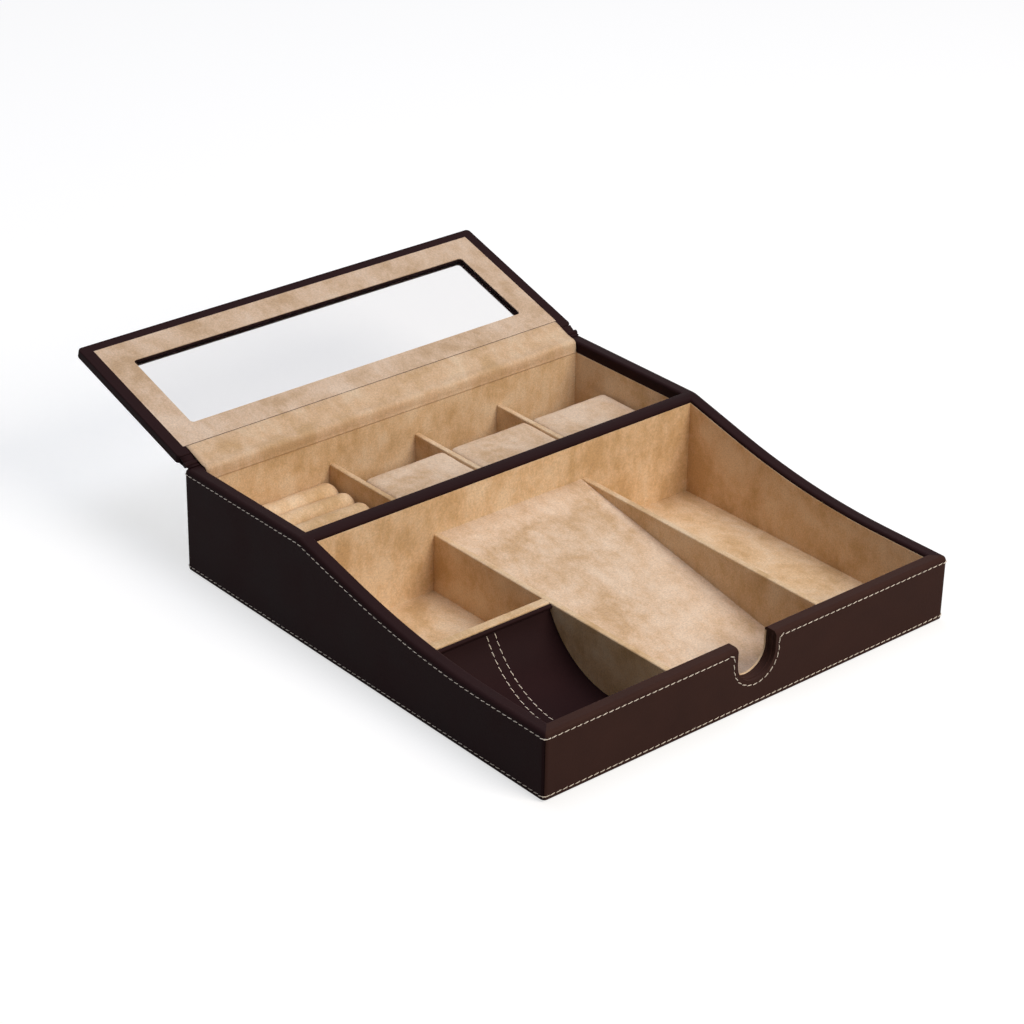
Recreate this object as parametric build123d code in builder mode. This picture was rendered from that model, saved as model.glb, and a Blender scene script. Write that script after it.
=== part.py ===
from build123d import *
import os
from math import asin, atan2, cos, degrees, radians, sin, sqrt

os.makedirs("parts", exist_ok=True)

# A valet box: an open tray in front, a lidded compartment for rings and watches behind it.
# Millimetres and degrees. X runs along the front, Y to the back, Z up from the surface it stands on.
# The origin is the centre of the underside.

# Case
case_width = 330.0
case_depth = 346.0
front_height = 45.5
rear_height = 73.0

# Layers of a wall, from outside to inside
leather_thick = 1.2
board_thick = 7.3
lining_thick = 1.5

# Rounding of the leather
corner_radius = 3.0
inner_edge_radius = 1.8
lower_edge_radius = 1.0

# Upright seams where the leather panels meet on the corners
corner_seam_width = 0.5
corner_seam_depth = 0.7
corner_seam_below_top = 3.6

# Bottom
base_pad_thick = 1.2
base_pad_inset = 2.0
bottom_board_thick = 2.2
floor_lining_thick = 0.8

# Sweep of the wall tops, from the high rear down to the low front
crest_behind_partition_face = 7.0
crest_radius = 17.2
foot_from_front = 51.0
sweep_fullness = 0.93

# Leather that turns down inside the walls, above the suede
tray_band_depth = 2.4
rear_band_depth = 8.0

# Front tray
tray_depth = 222.0
tray_divider_top = 44.0
tray_divider_thick = 4.5
ramp_bay_width = 118.6
cross_divider_thick = 6.5
scoop_bay_length = 102.7
scoop_flat_length = 45.0
scoop_leather_thick = 1.2
scoop_bead_radius = 1.5
scoop_bead_drop = 2.0
former_edge = 0.8
ramp_rear_top = 43.6
ramp_foot_gap = 12.0
ramp_thick = 2.5
cleat_depth = 6.0
cleat_height = 10.0

# Finger notch in the front wall
notch_width = 31.0
notch_depth = 26.5

# Rear compartment
ring_bay_width = 96.7
rear_divider_thick = 4.0
rear_divider_top = 46.0
watch_bay_count = 3
divider_edge_radius = 0.9

# Soft pieces
soft_clearance = 0.3
roll_count = 6
roll_top = 38.0
roll_end_radius = 5.0
pillow_clearance = 0.6
pillow_front_gap = 4.0
pillow_rear_gap = 29.7
pillow_top = 46.5
pillow_crown = 2.2
pillow_side_bulge = 1.2
pillow_corner_radius = 7.0
pillow_edge_radius = 5.0

# Lid
lid_open_angle = 163.0
lid_thick = 7.0
lid_side_inset = 0.5
lid_front_overhang = 0.5
lid_end_gap = 7.0
lid_corner_radius = 3.0
lid_outer_edge_radius = 2.0
lid_inner_edge_radius = 0.8
lid_rim_side = 8.3
lid_rim_front = 6.9
lid_lining_thick = 2.8
lining_start = 14.0
window_side_margin = 26.7
window_front_margin = 25.4
window_start = 31.2
window_corner_radius = 2.5
window_trim_cover = 0.6
glass_thick = 1.6
glass_overlap = 6.0
glass_clearance = 0.2

# Hinge: three flexible strips, no pin
hinge_rise = 1.8
lid_seat_gap = 0.3
strip_thick = 1.2
strip_gap = 0.1
strip_drop = 7.0
strip_side_clearance = 0.3
flap_thick = 1.1
flap_land = 3.0
flap_kink = 1.3
outer_flap_drop = 15.0
outer_flap_reach = 18.0

# An edge runs along an axis when its direction has at least this share of it
along_axis = 0.9

# Places worked out from the sizes above
half_width = case_width / 2
front_y = -case_depth / 2
rear_y = case_depth / 2
leather_bottom = base_pad_thick
board_bottom = leather_bottom + bottom_board_thick
floor_top = board_bottom + floor_lining_thick

side_board_face = half_width - leather_thick - board_thick
side_lining_face = side_board_face - lining_thick
front_board_face = front_y + leather_thick + board_thick
front_lining_face = front_board_face + lining_thick
back_board_face = rear_y - leather_thick - board_thick
back_lining_face = back_board_face - lining_thick

partition_face = front_y + tray_depth
partition_board_front = partition_face + lining_thick
partition_board_rear = partition_board_front + board_thick
rear_bay_start = partition_board_rear + lining_thick

# The sweep is a small arc at the crest and a large one at the foot, joined by a straight fall
crest_y = partition_face + crest_behind_partition_face
foot_y = front_y + foot_from_front
sweep_run = crest_y - foot_y
sweep_drop = rear_height - front_height
radii_sum = sweep_fullness * (sweep_run**2 + sweep_drop**2) / (2 * sweep_drop)
foot_radius = radii_sum - crest_radius
straight_fall = sqrt(sweep_run**2 + (radii_sum - sweep_drop) ** 2 - radii_sum**2)
fall_angle = degrees(atan2(sweep_run, radii_sum - sweep_drop) - atan2(straight_fall, radii_sum))

bay_edge = ramp_bay_width / 2
bay_divider_outside = bay_edge + tray_divider_thick
notch_radius = notch_width / 2
notch_bottom = front_height - notch_depth
cross_divider_front = front_lining_face + scoop_bay_length
cross_divider_rear = cross_divider_front + cross_divider_thick

ring_divider_x = -side_lining_face + ring_bay_width
watch_pitch = (side_lining_face - ring_divider_x) / watch_bay_count
watch_bay_width = watch_pitch - rear_divider_thick

hinge_y = rear_y
hinge_z = rear_height + hinge_rise
lid_lift = hinge_rise - lid_seat_gap
lid_reach = hinge_y - partition_face + lid_front_overhang
lid_half_width = half_width - lid_side_inset
strip_half_width = side_lining_face - strip_side_clearance


def save(piece, label):
    """Name a finished piece and write it out."""
    piece.part.label = label
    export_step(piece.part, f"parts/{label}.step")


def side_outline(inset, low):
    """The case seen from the side, at a depth under the leather surface, down to the height low."""
    rear_top = (rear_y - inset, rear_height - inset)
    front_top = (front_y + inset, front_height - inset)
    with BuildSketch() as outline:
        with BuildLine():
            crest = CenterArc((crest_y, rear_height - crest_radius), crest_radius - inset, 90, fall_angle)
            foot = CenterArc((foot_y, front_height + foot_radius), foot_radius + inset, -90, fall_angle)
            Line(crest @ 1, foot @ 1)
            Polyline(foot @ 0, front_top, (front_top[0], low), (rear_top[0], low), rear_top, crest @ 0)
        make_face()
    return outline.sketch


def notch_space(inset):
    """The space of the finger notch through the front wall, at a depth under the leather surface."""
    radius = notch_radius + inset
    with BuildPart() as space:
        with BuildSketch(Plane.XZ.offset(-front_lining_face)):
            with Locations((0, notch_bottom + notch_radius)):
                Circle(radius)
                Rectangle(2 * radius, rear_height, align=(Align.CENTER, Align.MIN))
        extrude(amount=front_lining_face - front_y + corner_radius)
    return space.part


def rectangle_between(x_low, x_high, y_low, y_high):
    """A rectangle in the sketch given by its sides."""
    with Locations(((x_low + x_high) / 2, (y_low + y_high) / 2)):
        Rectangle(x_high - x_low, y_high - y_low)


def case_walls(inset, low):
    """All walls and the partition as one solid, at a depth under the leather surface."""
    band_x = side_board_face - leather_thick + inset
    tray_span = (front_board_face + leather_thick - inset, partition_board_front - leather_thick + inset)
    rear_span = (partition_board_rear + leather_thick - inset, back_board_face - leather_thick + inset)
    with BuildPart() as walls:
        with BuildSketch(Plane.YZ):
            add(side_outline(inset, low))
        extrude(amount=half_width - inset, both=True)
        fillet(walls.edges().filter_by(Axis.Z), corner_radius - inset)
        outer_rim = [
            edge
            for edge in walls.edges()
            if (edge @ 0.5).Z > low + inner_edge_radius
            and abs((edge % 0.5).Z) < along_axis
            and not (abs((edge % 0.5).X) > along_axis and abs((edge @ 0.5).Y) < rear_y - corner_radius)
        ]
        fillet(outer_rim, corner_radius - inset)
        with BuildSketch(Plane.XY.offset(low)):
            rectangle_between(-band_x, band_x, *tray_span)
            rectangle_between(-band_x, band_x, *rear_span)
        extrude(amount=rear_height, mode=Mode.SUBTRACT)
        inner_rim = [
            edge
            for edge in walls.edges(Select.LAST)
            if (edge @ 0.5).Z > low + inner_edge_radius
            and abs((edge % 0.5).Z) < along_axis
            and not (abs((edge % 0.5).X) > along_axis and edge.length < half_width)
        ]
        fillet(inner_rim, inner_edge_radius - inset)
        add(notch_space(inset), mode=Mode.SUBTRACT)
    return walls.part


def tray_room(low):
    """The tray between its boards, up to where the suede lining ends."""
    with BuildPart() as room:
        with BuildSketch(Plane.YZ):
            add(side_outline(tray_band_depth, low))
        extrude(amount=side_board_face, both=True)
        with BuildSketch(Plane.XY):
            rectangle_between(-side_board_face, side_board_face, front_board_face, partition_board_front)
        extrude(amount=rear_height, mode=Mode.INTERSECT)
    return room.part


def rear_room(low):
    """The rear compartment between its boards, up to where the suede lining ends."""
    with BuildPart() as room:
        with BuildSketch(Plane.XY.offset(low)):
            rectangle_between(-side_board_face, side_board_face, partition_board_rear, back_board_face)
        extrude(amount=rear_height - rear_band_depth - low)
    return room.part


# Base pad under the case
with BuildPart() as base_pad:
    with BuildSketch():
        RectangleRounded(case_width - 2 * base_pad_inset, case_depth - 2 * base_pad_inset, corner_radius)
    extrude(amount=base_pad_thick)
save(base_pad, "base_pad")

# Bottom board
with BuildPart() as bottom_board:
    with BuildSketch(Plane.XY.offset(leather_bottom)):
        RectangleRounded(
            case_width - 2 * leather_thick, case_depth - 2 * leather_thick, corner_radius - leather_thick
        )
    extrude(amount=bottom_board_thick)
save(bottom_board, "bottom_board")

# Wall boards: the side boards run the full depth, the others stand between them
board_ring = case_walls(leather_thick, board_bottom)
board_spans = {
    "left_wall_board": (-half_width, -side_board_face, front_y, rear_y),
    "right_wall_board": (side_board_face, half_width, front_y, rear_y),
    "front_wall_board": (-side_board_face, side_board_face, front_y, front_board_face),
    "back_wall_board": (-side_board_face, side_board_face, back_board_face, rear_y),
    "partition_board": (-side_board_face, side_board_face, partition_board_front, partition_board_rear),
}
for label, span in board_spans.items():
    with BuildPart() as wall_board:
        add(board_ring)
        with BuildSketch(Plane.XY):
            rectangle_between(*span)
        extrude(amount=rear_height, mode=Mode.INTERSECT)
    save(wall_board, label)

# Leather: one skin over the boards, parted into panels with mitred corners
corner_seam_reach = corner_radius * (sqrt(2) - 1) + corner_seam_depth
with BuildPart() as leather_skin:
    add(case_walls(0, leather_bottom))
    lower_rim = [
        edge
        for edge in leather_skin.edges().group_by(Axis.Z)[0]
        if max(abs((edge @ 0.5).X) - half_width, abs((edge @ 0.5).Y) - rear_y) > -corner_radius / 2
    ]
    fillet(lower_rim, lower_edge_radius)
    for end_y, wall_top in ((front_y, front_height), (rear_y, rear_height)):
        with BuildSketch(Plane.XY.offset(leather_bottom)):
            for end_x in (-half_width, half_width):
                with Locations(Location((end_x, end_y), 45 if end_x * end_y < 0 else -45)):
                    Rectangle(corner_seam_width, 2 * corner_seam_reach)
        extrude(amount=wall_top - corner_seam_below_top - leather_bottom, mode=Mode.SUBTRACT)
    add(case_walls(leather_thick, leather_bottom), mode=Mode.SUBTRACT)
    add(tray_room(leather_bottom), mode=Mode.SUBTRACT)
    add(rear_room(leather_bottom), mode=Mode.SUBTRACT)

wall_depth = 2 * leather_thick + board_thick
inside_x = half_width - wall_depth
inside_front = front_y + wall_depth
inside_rear = rear_y - wall_depth
leather_regions = {
    "front_leather": [
        (-half_width, front_y), (half_width, front_y), (inside_x, inside_front), (-inside_x, inside_front)
    ],
    "back_leather": [
        (-half_width, rear_y), (half_width, rear_y), (inside_x, inside_rear), (-inside_x, inside_rear)
    ],
    "left_leather": [
        (-half_width, front_y), (-inside_x, inside_front), (-inside_x, inside_rear), (-half_width, rear_y)
    ],
    "right_leather": [
        (half_width, front_y), (inside_x, inside_front), (inside_x, inside_rear), (half_width, rear_y)
    ],
    "partition_leather": [
        (-inside_x, partition_face), (inside_x, partition_face),
        (inside_x, rear_bay_start), (-inside_x, rear_bay_start),
    ],
}
for label, corners in leather_regions.items():
    with BuildPart() as leather_panel:
        add(leather_skin.part)
        with BuildSketch(Plane.XY):
            with BuildLine():
                Polyline(*corners, close=True)
            make_face()
        extrude(amount=rear_height, mode=Mode.INTERSECT)
    save(leather_panel, label)

# Suede linings on the walls: the side ones run the full length of their room
tray_wall_room = tray_room(board_bottom)
rear_wall_room = rear_room(board_bottom)
between = (-side_lining_face, side_lining_face)
tray_ends = (front_board_face, partition_board_front)
rear_ends = (partition_board_rear, back_board_face)
lining_spans = {
    "tray_left_lining": (tray_wall_room, -side_board_face, -side_lining_face, *tray_ends),
    "tray_right_lining": (tray_wall_room, side_lining_face, side_board_face, *tray_ends),
    "tray_front_lining": (tray_wall_room, *between, front_board_face, front_lining_face),
    "tray_rear_lining": (tray_wall_room, *between, partition_face, partition_board_front),
    "rear_left_lining": (rear_wall_room, -side_board_face, -side_lining_face, *rear_ends),
    "rear_right_lining": (rear_wall_room, side_lining_face, side_board_face, *rear_ends),
    "rear_front_lining": (rear_wall_room, *between, partition_board_rear, rear_bay_start),
    "rear_back_lining": (rear_wall_room, *between, back_lining_face, back_board_face),
}
for label, (room, *span) in lining_spans.items():
    with BuildPart() as lining:
        add(room)
        with BuildSketch(Plane.XY):
            rectangle_between(*span)
        extrude(amount=rear_height, mode=Mode.INTERSECT)
        if label == "tray_front_lining":
            add(notch_space(0), mode=Mode.SUBTRACT)
    save(lining, label)

# Suede on the floors
ramp_foot = front_lining_face + ramp_foot_gap
floor_spans = {
    "left_floor_lining": (-side_lining_face, -bay_divider_outside, cross_divider_rear, partition_face),
    "right_floor_lining": (bay_divider_outside, side_lining_face, front_lining_face, partition_face),
    "ramp_bay_floor_lining": (-bay_edge, bay_edge, front_lining_face, ramp_foot),
    "rear_floor_lining": (*between, rear_bay_start, back_lining_face),
}
for label, span in floor_spans.items():
    with BuildPart() as floor_lining:
        with BuildSketch(Plane.XY.offset(board_bottom)):
            rectangle_between(*span)
        extrude(amount=floor_lining_thick)
    save(floor_lining, label)


def upright_divider(label, x_low, x_high, y_low, y_high, low, high):
    """A suede-covered board on edge, with a softened top."""
    with BuildPart() as divider:
        with BuildSketch(Plane.XY.offset(low)):
            rectangle_between(x_low, x_high, y_low, y_high)
        extrude(amount=high - low)
        long_way = Axis.Y if y_high - y_low > x_high - x_low else Axis.X
        fillet(divider.edges().filter_by(long_way).group_by(Axis.Z)[-1], divider_edge_radius)
    save(divider, label)


# Dividers of the tray
bay_length = (front_lining_face, partition_face)
tray_heights = (board_bottom, tray_divider_top)
upright_divider("ramp_bay_left_divider", -bay_divider_outside, -bay_edge, *bay_length, *tray_heights)
upright_divider("ramp_bay_right_divider", bay_edge, bay_divider_outside, *bay_length, *tray_heights)
cross_span = (-side_lining_face, -bay_divider_outside, cross_divider_front, cross_divider_rear)
upright_divider("scoop_cross_divider", *cross_span, *tray_heights)

# Coin scoop: a quarter sweep of leather over a shaped former, from the front wall up to the cross divider
scoop_start = front_lining_face + scoop_flat_length
scoop_run = cross_divider_front - scoop_start
scoop_floor = board_bottom + scoop_leather_thick
scoop_rise = tray_divider_top - scoop_bead_drop - scoop_floor
scoop_radius = (scoop_run**2 + scoop_rise**2) / (2 * scoop_rise)
scoop_under_radius = scoop_radius + scoop_leather_thick
scoop_center = (scoop_start, scoop_floor + scoop_radius)
scoop_x = (-side_lining_face - bay_divider_outside) / 2
scoop_width = side_lining_face - bay_divider_outside
scoop_plane = Plane.YZ.offset(scoop_x)

with BuildPart() as scoop_leather:
    with BuildSketch(scoop_plane):
        with BuildLine():
            upper = CenterArc(scoop_center, scoop_radius, -90, degrees(asin(scoop_run / scoop_radius)))
            under_turn = degrees(asin(scoop_run / scoop_under_radius))
            under = CenterArc(scoop_center, scoop_under_radius, -90, under_turn)
            Line(upper @ 1, under @ 1)
            flat_end = (front_lining_face, scoop_floor)
            Polyline(upper @ 0, flat_end, (front_lining_face, board_bottom), under @ 0)
        make_face()
        with Locations((cross_divider_front - scoop_bead_radius, (upper @ 1).Y)):
            Circle(scoop_bead_radius)
    extrude(amount=scoop_width / 2, both=True)
save(scoop_leather, "scoop_leather")

former_start = scoop_start + sqrt(scoop_under_radius**2 - (scoop_under_radius - former_edge) ** 2)
former_turn = degrees(asin((former_start - scoop_start) / scoop_under_radius))
with BuildPart() as scoop_former:
    with BuildSketch(scoop_plane):
        with BuildLine():
            back = CenterArc(scoop_center, scoop_under_radius, former_turn - 90, under_turn - former_turn)
            front_foot = (former_start, board_bottom)
            Polyline(back @ 0, front_foot, (cross_divider_front, board_bottom), back @ 1)
        make_face()
    extrude(amount=scoop_width / 2, both=True)
save(scoop_former, "scoop_former")

# Ramp: a suede-covered board that falls from the partition to the front of the middle bay
ramp_slope = (ramp_rear_top - floor_top) / (partition_face - ramp_foot)
ramp_drop = ramp_thick * sqrt(1 + ramp_slope**2)
ramp_under_rear = ramp_rear_top - ramp_drop
ramp_under_foot = partition_face - (ramp_under_rear - board_bottom) / ramp_slope
with BuildPart() as ramp_panel:
    with BuildSketch(Plane.YZ):
        Polygon(
            (partition_face, ramp_rear_top),
            (ramp_foot, floor_top),
            (ramp_foot, board_bottom),
            (ramp_under_foot, board_bottom),
            (partition_face, ramp_under_rear),
            align=None,
        )
    extrude(amount=bay_edge, both=True)
save(ramp_panel, "ramp_panel")

# Cleat on the partition that carries the ramp's upper end
cleat_front = partition_face - cleat_depth
with BuildPart() as ramp_cleat:
    with BuildSketch(Plane.YZ):
        Polygon(
            (partition_face, ramp_under_rear),
            (cleat_front, ramp_under_rear - ramp_slope * cleat_depth),
            (cleat_front, ramp_under_rear - cleat_height),
            (partition_face, ramp_under_rear - cleat_height),
            align=None,
        )
    extrude(amount=bay_edge, both=True)
save(ramp_cleat, "ramp_cleat")

# Watch pillow: full sides between drawn-in corners, and a crowned top with soft edges
pillow_width = watch_bay_width - 2 * pillow_clearance
pillow_depth = back_lining_face - rear_bay_start - pillow_front_gap - pillow_rear_gap
pillow_height = pillow_top - floor_top
side_y = pillow_depth / 2 - pillow_side_bulge
side_x = pillow_width / 2 - pillow_side_bulge
crown_radius = (side_x**2 + side_y**2) / (2 * pillow_crown)
with BuildPart() as pillow_form:
    with BuildSketch() as pillow_plan:
        with BuildLine():
            ThreePointArc((-side_x, -side_y), (0, -pillow_depth / 2), (side_x, -side_y))
            ThreePointArc((side_x, -side_y), (pillow_width / 2, 0), (side_x, side_y))
            ThreePointArc((side_x, side_y), (0, pillow_depth / 2), (-side_x, side_y))
            ThreePointArc((-side_x, side_y), (-pillow_width / 2, 0), (-side_x, -side_y))
        make_face()
        fillet(pillow_plan.vertices(), pillow_corner_radius)
    extrude(amount=pillow_height)
    with Locations((0, 0, pillow_height - crown_radius)):
        Sphere(crown_radius, mode=Mode.INTERSECT)
    fillet(pillow_form.faces().sort_by(Axis.Z)[-1].edges(), pillow_edge_radius)

# Dividers of the rear compartment, and a pillow in each watch bay
rear_length = (rear_bay_start, back_lining_face)
pillow_y = rear_bay_start + pillow_front_gap + pillow_depth / 2
for index in range(watch_bay_count):
    divider_x = ring_divider_x + index * watch_pitch
    divider_span = (divider_x, divider_x + rear_divider_thick)
    upright_divider(
        f"watch_divider_{index + 1}", *divider_span, *rear_length, floor_top, rear_divider_top
    )
    pillow_x = divider_x + rear_divider_thick + watch_bay_width / 2
    with BuildPart() as watch_pillow:
        with Locations((pillow_x, pillow_y, floor_top)):
            add(pillow_form.part)
    save(watch_pillow, f"watch_pillow_{index + 1}")

# Ring roll: a foam strip, full round on top, with rounded ends
roll_pitch = (back_lining_face - rear_bay_start) / roll_count
roll_radius = (roll_pitch - soft_clearance) / 2
roll_length = ring_bay_width - 2 * soft_clearance
roll_straight = roll_top - roll_radius - floor_top
with BuildPart() as roll_form:
    with BuildSketch(Plane.YZ):
        with Locations((0, roll_straight)):
            Circle(roll_radius)
            Rectangle(2 * roll_radius, roll_straight, align=(Align.CENTER, Align.MAX))
    extrude(amount=roll_length / 2, both=True)
    end_edges = [
        edge
        for edge in roll_form.edges()
        if abs((edge @ 0.5).X) > roll_length / 2 - soft_clearance and (edge @ 0.5).Z > soft_clearance
    ]
    fillet(end_edges, roll_end_radius)

# Rolls side by side, from the back of the ring bay to its front
for index in range(roll_count):
    roll_x = -side_lining_face + ring_bay_width / 2
    roll_y = back_lining_face - (index + 0.5) * roll_pitch
    with BuildPart() as ring_roll:
        with Locations((roll_x, roll_y, floor_top)):
            add(roll_form.part)
    save(ring_roll, f"ring_roll_{index + 1}")

# Lid, drawn on its inner face as it stands open; its own Y runs from the hinge to the free edge
open_turn = radians(lid_open_angle)
lid_along = Vector(0, -cos(open_turn), sin(open_turn))
lid_inward = Vector(0, -sin(open_turn), -cos(open_turn))
lid_origin = Vector(0, hinge_y, hinge_z) + lid_inward * lid_lift
lid_plane = Plane(origin=lid_origin, x_dir=(1, 0, 0), z_dir=lid_inward)
lid_normal = Axis(lid_origin, lid_inward)

lid_outline = (lid_half_width, lid_end_gap, lid_reach)
core_outline = (lid_half_width - leather_thick, lid_end_gap + leather_thick, lid_reach - leather_thick)
lining_outline = (lid_half_width - lid_rim_side, lining_start, lid_reach - lid_rim_front)
window_outline = (lid_half_width - window_side_margin, window_start, lid_reach - window_front_margin)


def grown(outline, amount):
    """An outline in the lid moved outwards all round."""
    half, start, end = outline
    return (half + amount, start - amount, end + amount)


def lid_slab(outline, upper, lower, corner=0):
    """A slab of the lid between two depths under its inner face, with square or round corners."""
    half, start, end = outline
    with BuildPart() as slab:
        with BuildSketch(lid_plane.offset(-upper)) as face:
            rectangle_between(-half, half, start, end)
            if corner:
                fillet(face.vertices(), corner)
        extrude(amount=upper - lower)
    return slab.part


def window_slab(around, upper, lower):
    """The window's space in the lid, widened by so much all round, between two depths."""
    return lid_slab(grown(window_outline, around), upper, lower, window_corner_radius + around)


glass_top = lid_lining_thick
glass_bottom = glass_top + glass_thick
core_top = leather_thick
core_bottom = lid_thick - leather_thick
glass_pocket = grown(window_outline, glass_overlap)

# Board frame of the lid, with pockets for the glass and the lining panel
with BuildPart() as lid_blank:
    add(lid_slab(core_outline, core_top, core_bottom))
    add(window_slab(leather_thick, core_top, core_bottom), mode=Mode.SUBTRACT)
with BuildPart() as lid_frame_board:
    add(lid_blank.part)
    add(lid_slab(lining_outline, core_top, lid_lining_thick), mode=Mode.SUBTRACT)
    add(lid_slab(glass_pocket, core_top, glass_bottom), mode=Mode.SUBTRACT)
save(lid_frame_board, "lid_frame_board")

# Leather round the lid, turned in over the rim and through the window
with BuildPart() as lid_leather:
    with BuildSketch(lid_plane):
        with Locations((0, (lid_end_gap + lid_reach) / 2)):
            RectangleRounded(2 * lid_half_width, lid_reach - lid_end_gap, lid_corner_radius)
    extrude(amount=-lid_thick)
    fillet(lid_leather.faces().sort_by(lid_normal)[0].edges(), lid_outer_edge_radius)
    fillet(lid_leather.faces().sort_by(lid_normal)[-1].edges(), lid_inner_edge_radius)
    add(lid_blank.part, mode=Mode.SUBTRACT)
    add(lid_slab(lining_outline, 0, lid_lining_thick), mode=Mode.SUBTRACT)
    add(lid_slab(glass_pocket, core_top, glass_bottom), mode=Mode.SUBTRACT)
    add(window_slab(0, 0, lid_thick), mode=Mode.SUBTRACT)
save(lid_leather, "lid_leather")

# Suede panel inside the lid, framing the window
with BuildPart() as lid_lining:
    add(lid_slab(lining_outline, 0, lid_lining_thick))
    add(window_slab(0, 0, lid_lining_thick), mode=Mode.SUBTRACT)
    add(window_slab(leather_thick, window_trim_cover, lid_lining_thick), mode=Mode.SUBTRACT)
save(lid_lining, "lid_lining")

# Leather trim round the window, between the suede's edge and the glass
with BuildPart() as lid_window_trim:
    add(window_slab(leather_thick, window_trim_cover, lid_lining_thick))
    add(window_slab(0, window_trim_cover, lid_lining_thick), mode=Mode.SUBTRACT)
save(lid_window_trim, "lid_window_trim")

# Window glass, held between the board frame and the lining panel
with BuildPart() as lid_glass:
    add(lid_slab(grown(glass_pocket, -glass_clearance), glass_top, glass_bottom))
save(lid_glass, "lid_glass")


def lid_point(along, rise):
    """A point of the hinge's section: how far from the hinge axis along the lid, and above it inwards."""
    place = Vector(0, hinge_y, hinge_z) + lid_along * along + lid_inward * rise
    return (place.Y, place.Z)


def hinge_strip(label, half, route, radii, thick, side):
    """A flexible strip of even thickness along a route in the hinge's section."""
    with BuildPart() as strip:
        with BuildSketch(Plane.YZ):
            with BuildLine():
                FilletPolyline(*route, radius=radii)
                offset(amount=thick, side=side)
            make_face()
        extrude(amount=half, both=True)
    save(strip, label)


# Suede strip inside the hinge: from the lid's lining, over the back wall's top and down its inner face
band_face_y = back_board_face - leather_thick
strip_face_y = band_face_y - strip_gap
suede_route = [
    lid_point(lining_start - strip_side_clearance, lid_lift + strip_gap),
    lid_point(lid_end_gap, lid_lift + strip_gap),
    (rear_y - flap_land - strip_gap, rear_height + flap_thick + 2 * strip_gap),
    (strip_face_y, rear_height + strip_gap),
    (strip_face_y, rear_height - strip_drop),
]
suede_radii = [corner_radius, corner_radius, inner_edge_radius + strip_gap]
hinge_strip("hinge_suede_strip", strip_half_width, suede_route, suede_radii, strip_thick, Side.RIGHT)

# Leather inside the hinge, under the suede: from the back wall's top to the lid's end, seen at both ends
inner_route = [
    (rear_y - flap_land, rear_height + strip_gap / 2),
    (rear_y + flap_kink, rear_height + strip_gap / 2),
    lid_point(lid_end_gap - 2 * strip_gap, lid_lift - flap_thick),
]
hinge_strip("hinge_inner_leather", lid_half_width, inner_route, [corner_radius / 2], flap_thick, Side.LEFT)

# Leather outside the hinge: from the back wall's outer face to the lid's outer face
lid_outer_rise = lid_lift - lid_thick - strip_gap / 2
far_end = lid_point(outer_flap_reach, lid_outer_rise)
wall_side_y = rear_y + strip_gap / 2
bend_z = far_end[1] - (far_end[0] - wall_side_y) * lid_along.Z / lid_along.Y
outer_route = [(wall_side_y, rear_height - outer_flap_drop), (wall_side_y, bend_z), far_end]
hinge_strip(
    "hinge_outer_leather", lid_half_width, outer_route, [corner_radius], leather_thick, Side.RIGHT
)

print(f"fall of the wall tops {fall_angle:.1f} degrees, scoop radius {scoop_radius:.1f}")
print(f"hinge axis at y {hinge_y:.1f}, z {hinge_z:.1f}; closed free edge at y {hinge_y - lid_reach:.1f}")
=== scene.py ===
import bpy
import numpy as np
from math import asin, cos, pi, radians, sin, sqrt
from mathutils import Matrix, Vector, noise


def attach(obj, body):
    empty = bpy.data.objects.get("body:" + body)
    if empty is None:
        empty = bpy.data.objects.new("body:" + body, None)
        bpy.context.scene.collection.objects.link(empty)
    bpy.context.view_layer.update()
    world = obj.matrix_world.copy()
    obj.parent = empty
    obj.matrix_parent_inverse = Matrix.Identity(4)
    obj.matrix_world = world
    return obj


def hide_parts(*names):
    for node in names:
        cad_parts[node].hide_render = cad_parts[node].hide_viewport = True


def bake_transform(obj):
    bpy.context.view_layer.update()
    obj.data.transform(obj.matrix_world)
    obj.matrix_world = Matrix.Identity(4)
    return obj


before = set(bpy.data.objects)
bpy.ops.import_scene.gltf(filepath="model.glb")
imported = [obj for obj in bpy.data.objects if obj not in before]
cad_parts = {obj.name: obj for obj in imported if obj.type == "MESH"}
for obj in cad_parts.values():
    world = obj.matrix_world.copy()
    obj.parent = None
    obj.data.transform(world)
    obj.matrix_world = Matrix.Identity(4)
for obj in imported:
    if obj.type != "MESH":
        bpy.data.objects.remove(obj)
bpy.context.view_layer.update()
scene = bpy.context.scene
mm = 0.001

# Sizes and places are in millimetres, apart from those of the camera, floor and lamps, which are in metres.
# The sweep of the wall tops repeats the CAD's own arcs.
case = {
    "halfWidth": 165.0,
    "front": -173.0,
    "rear": 173.0,
    "frontHeight": 45.5,
    "rearHeight": 73.0,
    "crestY": 56.0,
    "crestRadius": 17.2,
    "crestSteps": 6,
    "footY": -122.0,
    "footRadius": 531.3,
    "footStep": 4.0,
    "fallAngle": 13.9,
}


def hexLinear(code):
    # sRGB hex as a linear colour
    parts = [int(code[i : i + 2], 16) / 255 for i in (1, 3, 5)]
    return tuple(c / 12.92 if c <= 0.04045 else ((c + 0.055) / 1.055) ** 2.4 for c in parts) + (1.0,)


def addNode(tree, kind, settings=None, links=None):
    # a node with its settings, either its own or its sockets', and the links into it
    node = tree.nodes.new(kind)
    for name, value in (settings or {}).items():
        if isinstance(name, str) and hasattr(node, name):
            setattr(node, name, value)
        else:
            node.inputs[name].default_value = value
    for name, source in (links or {}).items():
        tree.links.new(source, node.inputs[name])
    return node


def newMaterial(name):
    material = bpy.data.materials.new(name)
    material.use_nodes = True
    material.node_tree.nodes.clear()
    return material, material.node_tree


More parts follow.
